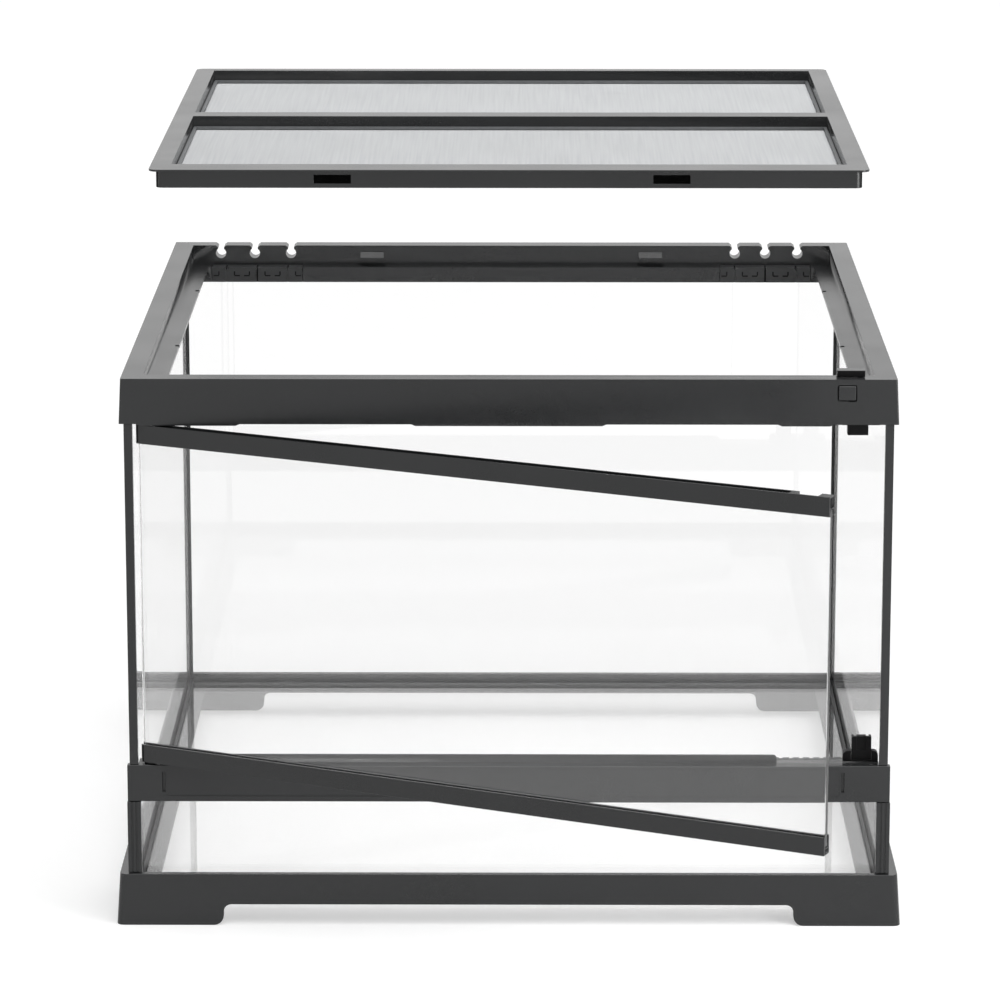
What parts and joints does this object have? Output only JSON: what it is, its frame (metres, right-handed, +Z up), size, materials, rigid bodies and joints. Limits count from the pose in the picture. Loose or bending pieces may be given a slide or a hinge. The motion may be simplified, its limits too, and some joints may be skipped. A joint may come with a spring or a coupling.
{
  "type": "glass terrarium",
  "caption": "Front-opening glass terrarium with a framed swing door, a push-button latch, cable inlets and a lift-off screen lid.",
  "frame": {"origin": "on the floor under the middle of the whole object as it stands, door ajar and lid lifted; the tank's own middle lies 0.0876 m behind it", "axes": "+X to the right seen from the front, +Y from the door to the rear, +Z up"},
  "size_m": [0.4648, 0.6348, 0.4495],
  "materials": {
    "charcoal_plastic": "fine satin moulded",
    "black_plastic": "satin moulded",
    "soft_plastic": "soft matt",
    "black_silicone": "cured silicone",
    "clear_glass": "polished float glass",
    "steel": "drawn wire"
  },
  "bodies": {
    "tank": {"base_frame": "charcoal_plastic", "floor_glass": "clear_glass", "floor_seal": "black_silicone", "lower_front_glass": "clear_glass", "left_glass": "clear_glass", "right_glass": "clear_glass", "rear_glass": "clear_glass", "left_post": "charcoal_plastic", "right_post": "charcoal_plastic", "lower_left_post": "charcoal_plastic", "lower_right_post": "charcoal_plastic", "rear_left_post": "black_silicone", "rear_right_post": "black_silicone", "top_frame": "charcoal_plastic", "left_cable_inlet": "soft_plastic", "right_cable_inlet": "soft_plastic", "front_bar": "charcoal_plastic", "vent_strip": "charcoal_plastic", "top_hinge_pin": "black_plastic", "bottom_hinge_pin": "black_plastic", "latch_housing": "black_plastic", "button_spring": "steel", "lower_catch_bracket": "black_plastic", "lower_catch_block": "black_plastic"},
    "door": {"door_glass": "clear_glass", "door_top_rail": "charcoal_plastic", "door_bottom_rail": "charcoal_plastic"},
    "lid": {"lid_frame": "charcoal_plastic", "front_screen": "steel", "rear_screen": "steel", "front_screen_bead": "black_silicone", "rear_screen_bead": "black_silicone"},
    "button": {"latch_button": "black_plastic"},
    "bolt": {"latch_bolt": "black_plastic"},
    "lock": {"lid_lock": "black_plastic"}
  },
  "joints": [
    {"name": "door_swing", "type": "hinge", "parent": "tank", "child": "door", "pos_m": [-0.2115, -0.13309, 0.2], "axis": [0, 0, -1], "range_deg": [-25, 80]},
    {"name": "lid_lift", "type": "slide", "parent": "tank", "child": "lid", "axis": [0, 0, 1], "range_m": [-0.121, 0]},
    {"name": "button_travel", "type": "slide", "parent": "tank", "child": "button", "axis": [0, -1, 0], "range_m": [0, 0.0025]},
    {"name": "bolt_travel", "type": "slide", "parent": "tank", "child": "bolt", "axis": [1, 0, 0], "range_m": [0, 0.0036]},
    {"name": "lock_turn", "type": "hinge", "parent": "tank", "child": "lock", "pos_m": [0.2038, -0.12729, 0.332], "axis": [0, 0, -1], "range_deg": [0, 90]}
  ],
  "couplings": [
    {"joint": "bolt_travel", "follows": "button_travel", "ratio": 1.4}
  ]
}
